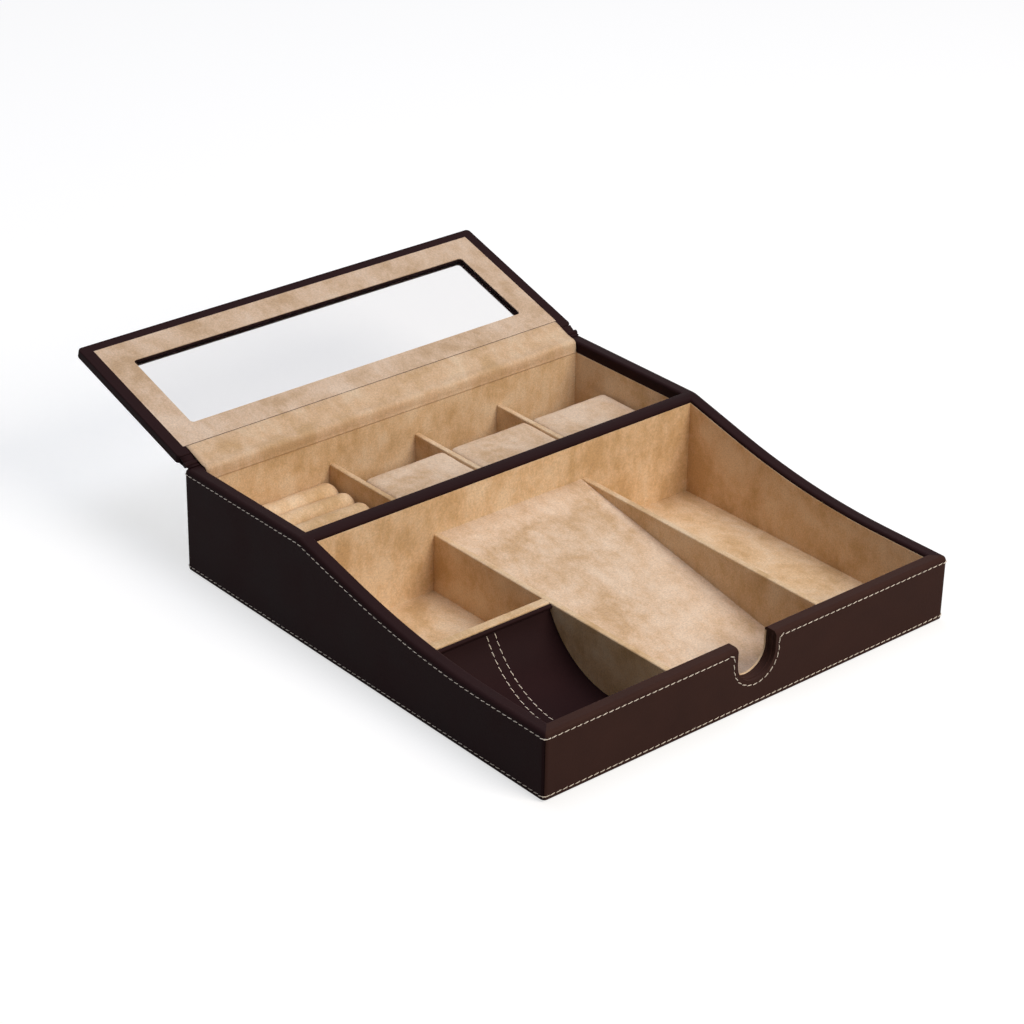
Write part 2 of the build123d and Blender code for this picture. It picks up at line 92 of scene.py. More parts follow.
def millimetreCoordinates(tree):
    # Object coordinates in millimetres, so that a pattern's scale is one over its real size
    place = addNode(tree, "ShaderNodeTexCoord")
    grown = addNode(
        tree,
        "ShaderNodeVectorMath",
        {"operation": "SCALE", "Scale": 1 / mm},
        {0: place.outputs["Object"]},
    )
    return grown.outputs[0]


def meshPiece(name, points, faces, material, smooth=True):
    # a piece from points in millimetres, in the CAD's frame
    mesh = bpy.data.meshes.new(name)
    mesh.from_pydata([tuple(value * mm for value in point) for point in points], [], faces)
    mesh.validate()
    mesh.materials.append(material)
    mesh.shade_smooth() if smooth else mesh.shade_flat()
    piece = bpy.data.objects.new(name, mesh)
    scene.collection.objects.link(piece)
    return piece


def plainMesh(piece, name):
    # the piece with its modifiers made real, as a plain mesh under its own name
    bpy.context.view_layer.update()
    graph = bpy.context.evaluated_depsgraph_get()
    made = bpy.data.meshes.new_from_object(piece.evaluated_get(graph), depsgraph=graph)
    old = piece.name
    bpy.data.objects.remove(piece)
    result = bpy.data.objects.new(name, made)
    scene.collection.objects.link(result)
    print("made", name, "from", old, "with", len(made.polygons), "faces")
    return result


leatherLook = {
    "face": "#402B26",
    "deep": "#33211D",
    "cloudSize": 34.0,
    "grainSize": 1.1,  # real grain is about 0.5 mm, drawn coarser so that it shows
    "poreSize": 0.45,
    "poreShare": 0.35,  # how much the pores count beside the grain
    "grainDepth": 0.09,
    "glossiest": 0.36,
    "dullest": 0.52,
    "specular": 0.02,
}
# A darker copy of the same leather, on every leather piece but the front wall and its notch beads: painted
# shade, for faces that get less light than the front
leatherPaintedShadeLook = {**leatherLook, "face": "#2D1B1C", "deep": "#221415"}


def espressoLeather(name, look):
    # Embossed and dyed bonded leather: near-black brown, even, with a fine pebble that softens its gloss
    material, tree = newMaterial(name)
    place = millimetreCoordinates(tree)
    clouds = addNode(
        tree,
        "ShaderNodeTexNoise",
        {"Scale": 1 / look["cloudSize"], "Detail": 4.0, "Roughness": 0.6},
        {"Vector": place},
    )
    grain = addNode(
        tree,
        "ShaderNodeTexVoronoi",
        {"feature": "SMOOTH_F1", "Scale": 1 / look["grainSize"], "Smoothness": 0.6, "Randomness": 0.9},
        {"Vector": place},
    )
    pores = addNode(
        tree, "ShaderNodeTexNoise", {"Scale": 1 / look["poreSize"], "Detail": 2.0}, {"Vector": place}
    )
    colour = addNode(
        tree,
        "ShaderNodeMix",
        {"data_type": "RGBA", 6: hexLinear(look["deep"]), 7: hexLinear(look["face"])},
        {0: clouds.outputs["Fac"]},
    )
    gloss = addNode(
        tree,
        "ShaderNodeMapRange",
        {"From Min": 0.3, "From Max": 0.7, "To Min": look["glossiest"], "To Max": look["dullest"]},
        {"Value": clouds.outputs["Fac"]},
    )
    relief = addNode(
        tree,
        "ShaderNodeMath",
        {"operation": "MULTIPLY_ADD", 1: look["poreShare"]},
        {0: pores.outputs["Fac"], 2: grain.outputs["Distance"]},
    )
    bump = addNode(
        tree,
        "ShaderNodeBump",
        {"Strength": 0.5, "Distance": look["grainDepth"] * mm},
        {"Height": relief.outputs[0]},
    )
    skin = addNode(
        tree,
        "ShaderNodeBsdfPrincipled",
        {"IOR": 1.5, "Specular IOR Level": look["specular"]},
        {"Base Color": colour.outputs[2], "Roughness": gloss.outputs[0], "Normal": bump.outputs[0]},
    )
    addNode(tree, "ShaderNodeOutputMaterial", {}, {"Surface": skin.outputs[0]})
    return material


suedeLook = {
    "tone": "#D9B992",
    "brushed": "#E2C8A7",
    "shaded": "#C8A57A",
    "shadedStop": 0.59,
    "toneStop": 0.74,
    "brushedStop": 0.91,
    "patchSize": 34.0,
    "strokeSize": 8.0,
    "strokeShare": 0.5,  # how much the strokes count beside the patches
    "strokeLay": (1.0, 0.55, 0.4),  # strokes run longer from front to back and up the walls
    "napSize": 1.1,  # real fibres are finer, drawn as coarse as they need to show
    "napDepth": 0.12,
    "fibreDark": 0.77,
    "fibreLight": 1.2,
    "sheen": 0.22,
    "sheenTint": "#F2DCC4",
}
# The same cloth in other tones: on the lid, on the ramp and pillows, and on the hinge's strip
suedeTones = {
    "Lid": {"tone": "#D0B499", "brushed": "#D9C1AA", "shaded": "#BFA182"},
    "Pale": {"tone": "#D7BA9C", "brushed": "#E1C9B0", "shaded": "#C7A682"},
    "Strip": {"tone": "#D0AF8D", "brushed": "#D9BE9F", "shaded": "#C2A079"},
}


def tanMicrosuede(name, look):
    # Brushed polyester microsuede: matt tan whose nap lies in lighter and darker strokes, with a soft bloom
    material, tree = newMaterial(name)
    place = millimetreCoordinates(tree)
    patches = addNode(
        tree,
        "ShaderNodeTexNoise",
        {"Scale": 1 / look["patchSize"], "Detail": 5.0, "Roughness": 0.6, "Distortion": 0.3},
        {"Vector": place},
    )
    laid = addNode(
        tree, "ShaderNodeVectorMath", {"operation": "MULTIPLY", 1: look["strokeLay"]}, {0: place}
    )
    strokes = addNode(
        tree,
        "ShaderNodeTexNoise",
        {"Scale": 1 / look["strokeSize"], "Detail": 4.0, "Roughness": 0.7, "Distortion": 0.3},
        {"Vector": laid.outputs[0]},
    )
    nap = addNode(
        tree,
        "ShaderNodeTexNoise",
        {"Scale": 1 / look["napSize"], "Detail": 3.0, "Roughness": 0.75},
        {"Vector": place},
    )
    lay = addNode(
        tree,
        "ShaderNodeMath",
        {"operation": "MULTIPLY_ADD", 1: look["strokeShare"]},
        {0: strokes.outputs["Fac"], 2: patches.outputs["Fac"]},
    )
    ramp = addNode(tree, "ShaderNodeValToRGB", {}, {"Fac": lay.outputs[0]})
    stops = ramp.color_ramp.elements
    stops[0].position, stops[0].color = look["shadedStop"], hexLinear(look["shaded"])
    stops[1].position, stops[1].color = look["brushedStop"], hexLinear(look["brushed"])
    stops.new(look["toneStop"]).color = hexLinear(look["tone"])
    fibre = addNode(
        tree,
        "ShaderNodeMapRange",
        {"From Min": 0.25, "From Max": 0.75, "To Min": look["fibreDark"], "To Max": look["fibreLight"]},
        {"Value": nap.outputs["Fac"]},
    )
    colour = addNode(
        tree,
        "ShaderNodeVectorMath",
        {"operation": "SCALE"},
        {0: ramp.outputs[0], "Scale": fibre.outputs[0]},
    )
    bump = addNode(
        tree,
        "ShaderNodeBump",
        {"Strength": 0.6, "Distance": look["napDepth"] * mm},
        {"Height": nap.outputs["Fac"]},
    )
    cloth = addNode(
        tree,
        "ShaderNodeBsdfPrincipled",
        {
            "Roughness": 0.95,
            "Specular IOR Level": 0.12,
            "Sheen Weight": look["sheen"],
            "Sheen Roughness": 0.45,
            "Sheen Tint": hexLinear(look["sheenTint"]),
        },
        {"Base Color": colour.outputs[0], "Normal": bump.outputs[0]},
    )
    addNode(tree, "ShaderNodeOutputMaterial", {}, {"Surface": cloth.outputs[0]})
    return material


threadLook = {
    # the valley colour is painted shade and the ridge colour painted highlight, on one cream thread
    "plyValleyShade": "#CDBFAE",
    "plyRidgeHighlight": "#F0E6D8",
    "plyScale": 0.5,  # a slanted band every 1.3 mm, coarser than real plies so that it shows
    "roughness": 0.55,
}


def creamThread(look):
    # Bonded polyester thread: cream, with a low sheen and its plies drawn as short slanted bands, painted
    # shade in the valleys between them and painted highlight on their ridges
    material, tree = newMaterial("creamThread")
    place = millimetreCoordinates(tree)
    plies = addNode(
        tree,
        "ShaderNodeTexWave",
        {"bands_direction": "DIAGONAL", "Scale": look["plyScale"], "Distortion": 0.6},
        {"Vector": place},
    )
    colour = addNode(
        tree,
        "ShaderNodeMix",
        {"data_type": "RGBA", 6: hexLinear(look["plyValleyShade"]), 7: hexLinear(look["plyRidgeHighlight"])},
        {0: plies.outputs["Fac"]},
    )
    surface = addNode(
        tree,
        "ShaderNodeBsdfPrincipled",
        {"Roughness": look["roughness"], "Specular IOR Level": 0.3},
        {"Base Color": colour.outputs[2]},
    )
    addNode(tree, "ShaderNodeOutputMaterial", {}, {"Surface": surface.outputs[0]})
    return material


glassLook = {"tint": "#F0EFEF", "roughness": 0.02, "ior": 1.5}


def clearGlass(look):
    # Float glass: clear, flat and sharply reflecting
    material, tree = newMaterial("clearFloatGlass")
    surface = addNode(
        tree,
        "ShaderNodeBsdfPrincipled",
        {
            "Base Color": hexLinear(look["tint"]),
            "Roughness": look["roughness"],
            "IOR": look["ior"],
            "Transmission Weight": 1.0,
        },
    )
    addNode(tree, "ShaderNodeOutputMaterial", {}, {"Surface": surface.outputs[0]})
    return material


def mottledPlain(name, light, dark, grainSize, roughness):
    # a plain hidden material with a fine mottle
    material, tree = newMaterial(name)
    place = millimetreCoordinates(tree)
    mottle = addNode(tree, "ShaderNodeTexNoise", {"Scale": 1 / grainSize, "Detail": 5.0}, {"Vector": place})
    colour = addNode(
        tree,
        "ShaderNodeMix",
        {"data_type": "RGBA", 6: hexLinear(dark), 7: hexLinear(light)},
        {0: mottle.outputs["Fac"]},
    )
    surface = addNode(
        tree,
        "ShaderNodeBsdfPrincipled",
        {"Roughness": roughness, "Specular IOR Level": 0.2},
        {"Base Color": colour.outputs[2]},
    )
    addNode(tree, "ShaderNodeOutputMaterial", {}, {"Surface": surface.outputs[0]})
    return material


leather = espressoLeather("espressoLeather", leatherLook)
# the same leather again, darker, with painted shade
leatherPaintedShade = espressoLeather("espressoLeatherPaintedShade", leatherPaintedShadeLook)
suede = tanMicrosuede("tanMicrosuede", suedeLook)
lidSuede, paleSuede, stripSuede = (
    tanMicrosuede("tanMicrosuede" + place, {**suedeLook, **tones}) for place, tones in suedeTones.items()
)
thread = creamThread(threadLook)
glass = clearGlass(glassLook)
fibreboard = mottledPlain("mediumFibreboard", "#A5835C", "#8A6A48", grainSize=1.5, roughness=0.9)
baseCloth = mottledPlain("taupeBaseCloth", "#9C8674", "#7E6A5B", grainSize=1.2, roughness=0.95)
print("materials ready")

nodeMaterials = {
    leather: ["front_leather"],
    # every leather piece but the front takes the darker copy, with painted shade
    leatherPaintedShade: [
        "back_leather", "left_leather", "right_leather", "partition_leather", "scoop_leather",
        "lid_leather", "lid_window_trim",
    ],
    suede: [
        "tray_left_lining", "tray_right_lining", "tray_front_lining", "tray_rear_lining",
        "rear_left_lining", "rear_right_lining", "rear_front_lining", "rear_back_lining",
        "left_floor_lining", "right_floor_lining", "ramp_bay_floor_lining", "rear_floor_lining",
        "ramp_bay_left_divider", "ramp_bay_right_divider", "scoop_cross_divider",
        "watch_divider_1", "watch_divider_2", "watch_divider_3",
    ],
    lidSuede: ["lid_lining"],
    paleSuede: ["ramp_panel"],
    glass: ["lid_glass"],
    baseCloth: ["base_pad"],
    fibreboard: [
        "bottom_board", "left_wall_board", "right_wall_board", "front_wall_board", "back_wall_board",
        "partition_board", "scoop_former", "ramp_cleat", "lid_frame_board",
    ],
}
for material, labels in nodeMaterials.items():
    for label in labels:
        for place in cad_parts[label].material_slots:
            place.material = material
print("CAD nodes dressed")

# The camera stands where the photograph's vanishing lines put it
camera = {
    "azimuth": -40.99,
    "elevation": 27.83,
    "roll": 1.12,
    "distance": 1.8592,
    "shiftRight": -0.03186,
    "shiftUp": 0.05163,
    "focalPixels": 2944.4,
    "imagePixels": 1024,
    "sensor": 36.0,
    "nearest": 0.05,
    "farthest": 50,
}


def placeCamera(view):
    azimuth, elevation, roll = (radians(view[key]) for key in ("azimuth", "elevation", "roll"))
    back = Vector((sin(azimuth) * cos(elevation), -cos(azimuth) * cos(elevation), sin(elevation)))
    right = Vector((cos(azimuth), sin(azimuth), 0))
    up = back.cross(right)
    rolledRight = right * cos(roll) + up * sin(roll)
    rolledUp = up * cos(roll) - right * sin(roll)
    data = bpy.data.cameras.new("photoCamera")
    data.sensor_width = view["sensor"]
    data.lens = view["focalPixels"] * view["sensor"] / view["imagePixels"]
    data.clip_start, data.clip_end = view["nearest"], view["farthest"]
    eye = bpy.data.objects.new("photoCamera", data)
    scene.collection.objects.link(eye)
    spot = back * view["distance"] + right * view["shiftRight"] + up * view["shiftUp"]
    turned = Matrix((rolledRight, rolledUp, back)).transposed().to_4x4()
    eye.matrix_world = Matrix.Translation(spot) @ turned
    scene.camera = eye


placeCamera(camera)

studio = {
    "floorSize": 8.0,
    "floorTone": "#B0B0B0",
    "floorGlow": 0.67,
    "skyForLight": 0.16,
    "skyTone": "#F7F8FA",
}


def whiteForSight(tree):
    # 1 for the rays that show the background: straight, in a reflection or through glass
    path = addNode(tree, "ShaderNodeLightPath")
    seen = path.outputs["Is Camera Ray"]
    for other in ("Is Glossy Ray", "Is Transmission Ray"):
        both = addNode(tree, "ShaderNodeMath", {"operation": "MAXIMUM"}, {0: seen, 1: path.outputs[other]})
        seen = both.outputs[0]
    return seen


def makeFloor(look):
    half = look["floorSize"] / 2 / mm
    corners = [(-half, -half, 0), (half, -half, 0), (half, half, 0), (-half, half, 0)]
    material, tree = newMaterial("paleStudioFloor")
    paint = addNode(
        tree, "ShaderNodeBsdfDiffuse", {"Color": hexLinear(look["floorTone"]), "Roughness": 0.5}
    )
    glow = addNode(
        tree,
        "ShaderNodeMath",
        {"operation": "MULTIPLY", 1: look["floorGlow"]},
        {0: whiteForSight(tree)},
    )
    lift = addNode(tree, "ShaderNodeEmission", {}, {"Strength": glow.outputs[0]})
    both = addNode(tree, "ShaderNodeAddShader", {}, {0: paint.outputs[0], 1: lift.outputs[0]})
    addNode(tree, "ShaderNodeOutputMaterial", {}, {"Surface": both.outputs[0]})
    meshPiece("studioFloor", corners, [(0, 1, 2, 3)], material, smooth=False)


def makeWorld(look):
    world = bpy.data.worlds.new("studioWorld")
    scene.world = world
    world.use_nodes = True
    tree = world.node_tree
    tree.nodes.clear()
    light = addNode(
        tree,
        "ShaderNodeBackground",
        {"Color": hexLinear(look["skyTone"]), "Strength": look["skyForLight"]},
    )
    white = addNode(tree, "ShaderNodeBackground", {"Color": (1, 1, 1, 1), "Strength": 1.0})
    chosen = addNode(
        tree,
        "ShaderNodeMixShader",
        {},
        {0: whiteForSight(tree), 1: light.outputs[0], 2: white.outputs[0]},
    )
    addNode(tree, "ShaderNodeOutputWorld", {}, {"Surface": chosen.outputs[0]})


# Both softboxes look at the middle of the case's underside
lamps = {
    "keySoftbox": {"spot": (0.45, -1.7, 1.5), "size": 1.2, "watts": 40.5, "tone": "#FFF6EA"},
    "topSoftbox": {"spot": (0.1, 0.45, 2.2), "size": 1.2, "watts": 22, "tone": "#E4ECFF"},
}


def makeLamp(name, look):
    data = bpy.data.lights.new(name, "AREA")
    data.shape = "SQUARE"
    data.size = look["size"]
    data.energy = look["watts"]
    data.color = hexLinear(look["tone"])[:3]
    lamp = bpy.data.objects.new(name, data)
    lamp.location = look["spot"]
    lamp.rotation_euler = Vector(look["spot"]).to_track_quat("Z", "Y").to_euler()
    scene.collection.objects.link(lamp)


makeFloor(studio)
makeWorld(studio)
for name, look in lamps.items():
    makeLamp(name, look)
scene.view_settings.view_transform = "Standard"
print("studio ready")

# Each of these is an input of the stitches' tree
stitch = {
    "Pitch": 4.7 * mm,
    "Length": 4.25 * mm,
    "Width": 0.57 * mm,
    "Rise": 0.5 * mm,
    "Dip": 0.35 * mm,
    "Slant": radians(7),
}
stitchFaces = {"along": 5, "round": 6}


def stitchTree(sizes, counts):
    tree = bpy.data.node_groups.new("saddleStitch", "GeometryNodeTree")
    face = tree.interface
    face.new_socket("Seam", in_out="INPUT", socket_type="NodeSocketGeometry")
    for name, value in sizes.items():
        face.new_socket(name, in_out="INPUT", socket_type="NodeSocketFloat").default_value = value
    face.new_socket("Thread", in_out="INPUT", socket_type="NodeSocketMaterial")
    face.new_socket("Stitches", in_out="OUTPUT", socket_type="NodeSocketGeometry")
    given = addNode(tree, "NodeGroupInput").outputs

    # one stitch: an arched thread that dips into the leather at both ends
    halfLength = addNode(tree, "ShaderNodeMath", {"operation": "MULTIPLY", 1: 0.5}, {0: given["Length"]})
    backwards = addNode(tree, "ShaderNodeMath", {"operation": "MULTIPLY", 1: -0.5}, {0: given["Length"]})
    down = addNode(tree, "ShaderNodeMath", {"operation": "MULTIPLY", 1: -1.0}, {0: given["Dip"]})
    first = addNode(tree, "ShaderNodeCombineXYZ", {}, {"X": backwards.outputs[0], "Z": down.outputs[0]})
    middle = addNode(tree, "ShaderNodeCombineXYZ", {}, {"Z": given["Rise"]})
    last = addNode(tree, "ShaderNodeCombineXYZ", {}, {"X": halfLength.outputs[0], "Z": down.outputs[0]})
    arch = addNode(
        tree,
        "GeometryNodeCurveQuadraticBezier",
        {"Resolution": counts["along"]},
        {"Start": first.outputs[0], "Middle": middle.outputs[0], "End": last.outputs[0]},
    )
    radius = addNode(tree, "ShaderNodeMath", {"operation": "MULTIPLY", 1: 0.5}, {0: given["Width"]})
    ring = addNode(
        tree,
        "GeometryNodeCurvePrimitiveCircle",
        {"Resolution": counts["round"]},
        {"Radius": radius.outputs[0]},
    )
    oneStitch = addNode(
        tree,
        "GeometryNodeCurveToMesh",
        {"Fill Caps": True},
        {"Curve": arch.outputs[0], "Profile Curve": ring.outputs["Curve"]},
    )

    # its places: even steps along the seam, turned to the seam and out of the leather
    line = addNode(tree, "GeometryNodeMeshToCurve", {}, {"Mesh": given["Seam"]})
    steps = addNode(
        tree,
        "GeometryNodeResampleCurve",
        {"mode": "LENGTH"},
        {"Curve": line.outputs[0], "Length": given["Pitch"]},
    )
    outward = addNode(
        tree, "GeometryNodeInputNamedAttribute", {"data_type": "FLOAT_VECTOR", "Name": "outward"}
    )
    along = addNode(tree, "GeometryNodeInputTangent")
    turned = addNode(
        tree,
        "FunctionNodeAxesToRotation",
        {"primary_axis": "Z", "secondary_axis": "X"},
        {0: outward.outputs[0], 1: along.outputs[0]},
    )
    lean = addNode(tree, "ShaderNodeCombineXYZ", {}, {"Z": given["Slant"]})
    leaning = addNode(
        tree,
        "FunctionNodeRotateRotation",
        {"rotation_space": "LOCAL"},
        {0: turned.outputs[0], 1: lean.outputs[0]},
    )
    row = addNode(
        tree,
        "GeometryNodeInstanceOnPoints",
        {},
        {"Points": steps.outputs[0], "Instance": oneStitch.outputs[0], "Rotation": leaning.outputs[0]},
    )
    real = addNode(tree, "GeometryNodeRealizeInstances", {}, {0: row.outputs[0]})
    soft = addNode(tree, "GeometryNodeSetShadeSmooth", {}, {0: real.outputs[0]})
    dyed = addNode(
        tree, "GeometryNodeSetMaterial", {}, {"Geometry": soft.outputs[0], "Material": given["Thread"]}
    )
    addNode(tree, "NodeGroupOutput", {}, {0: dyed.outputs[0]})
    return tree


def sweepLine(inset):
    # the wall top's line, at a depth below it, from the rear to the front, as (y, z)
    points = [(case["rear"], case["rearHeight"] - inset)]
    crest = case["crestRadius"] - inset
    crestCentre = case["rearHeight"] - case["crestRadius"]
    for i in range(case["crestSteps"] + 1):
        turn = radians(90 + case["fallAngle"] * i / case["crestSteps"])
        points.append((case["crestY"] + crest * cos(turn), crestCentre + crest * sin(turn)))
    foot = case["footRadius"] + inset
    footCentre = case["frontHeight"] + case["footRadius"]
    count = int(foot * radians(case["fallAngle"]) / case["footStep"])
    for i in range(count + 1):
        turn = radians(-90 + case["fallAngle"] * (1 - i / count))
        points.append((case["footY"] + foot * cos(turn), footCentre + foot * sin(turn)))
    points.append((case["front"], case["frontHeight"] - inset))
    return points


def wallRun(line, out, look):
    # a row of stitches along a wall, carried a little way round the corner at each end
    points, out = [Vector(point) for point in line], Vector(out)
    ways = [out] * len(points)
    count = look["cornerSteps"]
    turns = [radians(look["cornerTurn"]) * i / count for i in range(count + 1)]
    for end, beside in ((0, 1), (-1, -2)):
        along = (points[end] - points[beside]).normalized()
        centre = points[end] - (along + out) * look["cornerRadius"]
        cornerWays = [out * cos(turn) + along * sin(turn) for turn in turns]
        spots = [centre + way * look["cornerRadius"] for way in cornerWays]
        if end == 0:
            points, ways = spots[::-1] + points[1:], cornerWays[::-1] + ways[1:]
        else:
            points, ways = points[:-1] + spots, ways[:-1] + cornerWays
    return points, ways


def seamLine(name, runs):
    # the seams of one body, each a line of points with the way out of the leather at each
    points, edges, outwards = [], [], []
    for line, ways in runs:
        start = len(points)
        points += [tuple(value * mm for value in point) for point in line]
        outwards += ways
        edges += [(start + i, start + i + 1) for i in range(len(line) - 1)]
    mesh = bpy.data.meshes.new(name)
    mesh.from_pydata(points, edges, [])
    way = mesh.attributes.new("outward", "FLOAT_VECTOR", "POINT")
    way.data.foreach_set("vector", [value for out in outwards for value in out])
    line = bpy.data.objects.new(name, mesh)
    scene.collection.objects.link(line)
    return line


seams = {
    "topRow": 3.7,  # below the wall's top
    "bottomRow": 4.0,  # above the ground
    "cornerRadius": 3.0,
    "cornerTurn": 20.0,
    "cornerSteps": 3,
    "notchRadius": 15.5,
    "notchBottom": 19.0,
    "notchMargin": 3.0,
    "notchSteps": 16,
    "scoopSeams": (-113.6, -107.4),
    "scoopStart": -118.0,
    "scoopRadius": 63.2,
    "scoopFloor": 4.6,
    "scoopTop": -62.5,
    "scoopFront": -161.5,
    "scoopSteps": 24,
}


def wallRuns(look):
    front, rear, side = case["front"], case["rear"], case["halfWidth"]
    high, low = case["frontHeight"] - look["topRow"], look["bottomRow"]
    reach = look["notchRadius"] + look["notchMargin"]
    middle = look["notchBottom"] + look["notchRadius"]
    turns = [pi + pi * i / look["notchSteps"] for i in range(1, look["notchSteps"])]
    # the front's top row goes round the finger notch
    row = [(-side, high), (-reach, high), (-reach, middle)]
    row += [(reach * cos(turn), middle + reach * sin(turn)) for turn in turns]
    row += [(reach, middle), (reach, high), (side, high)]
    runs = [
        wallRun([(x, front, z) for x, z in row], (0, -1, 0), look),
        wallRun([(-side, front, low), (side, front, low)], (0, -1, 0), look),
    ]
    for way in (-1, 1):
        top = [(way * side, y, z) for y, z in sweepLine(look["topRow"])]
        bottom = [(way * side, rear, low), (way * side, front, low)]
        runs += [wallRun(top, (way, 0, 0), look), wallRun(bottom, (way, 0, 0), look)]
    runs.append(wallRun([(-side, rear, low), (side, rear, low)], (0, 1, 0), look))
    return runs


def scoopRuns(look):
    runs = []
    start, radius, floor = look["scoopStart"], look["scoopRadius"], look["scoopFloor"]
    centre = floor + radius
    last = asin((look["scoopTop"] - start) / radius)
    turns = [last * i / look["scoopSteps"] for i in range(look["scoopSteps"] + 1)]
    for x in look["scoopSeams"]:
        line = [(x, look["scoopFront"], floor)]
        line += [(x, start + radius * sin(turn), centre - radius * cos(turn)) for turn in turns]
        ways = [(0, 0, 1)] + [(0, -sin(turn), cos(turn)) for turn in turns]
        runs.append((line, ways))
    return runs


def sewPiece(name, runs, tree):
    line = seamLine(name + "Line", runs)
    sewn = line.modifiers.new("stitches", "NODES")
    sewn.node_group = tree
    for item in tree.interface.items_tree:
        if item.in_out == "INPUT" and item.name == "Thread":
            sewn[item.identifier] = thread
    piece = plainMesh(line, name)
    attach(piece, "case")


# The turned edges of the leather in the finger notch
beads = {
    "notchOuterBead": {"y": -170.2, "radius": 0.5},
    "notchInnerBead": {"y": -166.4, "radius": 0.35},
}
beadEnd = 1.2  # below the wall's top
beadSteps = 24


def beadPiece(name, path, radius, material):
    # a round bead along a line of points
    data = bpy.data.curves.new(name + "Line", "CURVE")
    data.dimensions = "3D"
    run = data.splines.new("POLY")
    run.points.add(len(path) - 1)
    for spot, place in zip(run.points, path):
        spot.co = (*[value * mm for value in place], 1)
    data.bevel_depth = radius * mm
    data.bevel_resolution = 2
    data.use_fill_caps = True
    line = bpy.data.objects.new(name + "Line", data)
    scene.collection.objects.link(line)
    piece = plainMesh(line, name)
    piece.data.materials.clear()
    piece.data.materials.append(material)
    piece.data.shade_smooth()
    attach(piece, "case")


def notchPath(look, y):
    # down one side of the finger notch, round its bottom and up the other side
    reach = look["notchRadius"]
    middle = look["notchBottom"] + reach
    high = case["frontHeight"] - beadEnd
    turns = [pi + pi * i / beadSteps for i in range(beadSteps + 1)]
    arc = [(reach * cos(turn), y, middle + reach * sin(turn)) for turn in turns]
    return [(-reach, y, high), *arc, (reach, y, high)]


for name, look in beads.items():
    beadPiece(name, notchPath(seams, look["y"]), look["radius"], leather)

saddleStitch = stitchTree(stitch, stitchFaces)
sewPiece("wallStitches", wallRuns(seams), saddleStitch)
sewPiece("scoopStitches", scoopRuns(seams), saddleStitch)
print("stitching done")

# Firm foam under a thin cloth, as settings of Blender's Cloth
foamCloth = {
    "quality": 6,
    "mass": 0.3,
    "tension_stiffness": 30,
    "compression_stiffness": 30,
    "bending_stiffness": 2,
    "use_pressure": True,
}
seedStep = (17.3, 5.9, 11.1)  # how far apart two seeds' ripples lie


def inflate(piece, look):
    # cloth over foam: an even mesh, blown up a little, with each point's move capped
    even = piece.modifiers.new("even", "REMESH")
    even.mode = "VOXEL"
    even.voxel_size = look["voxel"] * mm
    piece = plainMesh(piece, piece.name + "Blown")
    rest = np.array([vertex.co for vertex in piece.data.vertices])
    cloth = piece.modifiers.new("cloth", "CLOTH")
    for name, value in foamCloth.items():
        setattr(cloth.settings, name, value)
    cloth.settings.uniform_pressure_force = look["pressure"]
    cloth.settings.effector_weights.gravity = 0
    for number in range(1, look["lastFrame"] + 1):
        scene.frame_set(number)
    graph = bpy.context.evaluated_depsgraph_get()
    blown = np.array([vertex.co for vertex in piece.evaluated_get(graph).data.vertices])
    piece.modifiers.remove(cloth)
    scene.frame_set(1)
    move = blown - rest
    length = np.linalg.norm(move, axis=1, keepdims=True) + 1e-9
    rest += move * np.minimum(1, look["cap"] * mm / length)
    piece.data.vertices.foreach_set("co", rest.ravel())
    finer = piece.modifiers.new("finer", "SUBSURF")
    finer.levels = finer.render_levels = 1
    return plainMesh(piece, piece.name + "Fine")


def placeSoft(form, name, middle, seed, look, material):
    # a copy of a soft form in its place, with its own faint unevenness
    mesh = form.data.copy()
    mesh.transform(Matrix.Translation(Vector(middle) * mm))
    mesh.update()
    places, normals = np.empty((2, len(mesh.vertices) * 3))
    mesh.vertices.foreach_get("co", places)
    mesh.vertices.foreach_get("normal", normals)
    places, normals = places.reshape(-1, 3), normals.reshape(-1, 3)
    start = Vector([seed * step for step in seedStep])
    size, height = look["rippleSize"] * mm, look["ripple"]
    lift = [noise.noise(Vector(place) / size + start) * height * mm for place in places]
    mesh.vertices.foreach_set("co", (places + normals * np.array(lift)[:, None]).ravel())
    mesh.materials.clear()
    mesh.materials.append(material)
    mesh.shade_smooth()
    piece = bpy.data.objects.new(name, mesh)
    scene.collection.objects.link(piece)
    return piece


def roundOutline(halfX, halfY, radius, steps):
    # a rectangle with round corners, as points anticlockwise
    points = []
    for corner, (sx, sy) in enumerate(((1, 1), (-1, 1), (-1, -1), (1, -1))):
        for i in range(steps + 1):
            turn = pi / 2 * (corner + i / steps)
            x = sx * (halfX - radius) + radius * cos(turn)
            y = sy * (halfY - radius) + radius * sin(turn)
            points.append((x, y))
    return points


def loftRings(rings):
    # faces between closed rings of equal length, with both ends shut
    count = len(rings[0])
    points = [point for ring in rings for point in ring]
    faces = []
    for r in range(len(rings) - 1):
        low, high = r * count, (r + 1) * count
        for i in range(count):
            beside = (i + 1) % count
            faces.append((low + i, low + beside, high + beside, high + i))
    faces.append(tuple(reversed(range(count))))
    faces.append(tuple(range(len(points) - count, len(points))))
    return points, faces


pillow = {
    "width": 65.8,
    "depth": 70.0,
    "floor": 4.2,
    "footLift": 0.4,  # room under the form, which swells
    "top": 46.8,
    "crown": 0.9,
    "crownRings": 9,
    "cornerRadius": 3.2,
    "cornerSteps": 6,
    "cornerTaper": 0.6,
    "edgeRadius": 2.4,
    "edgeSteps": 6,
    "columns": (-20.75, 50.35, 121.45),
    "y": 98.3,
    "voxel": 1.5,
    "pressure": 2.5,
    "cap": 0.35,
    "lastFrame": 14,
    "ripple": 0.3,
    "rippleSize": 17,
    "firstSeed": 0,
}


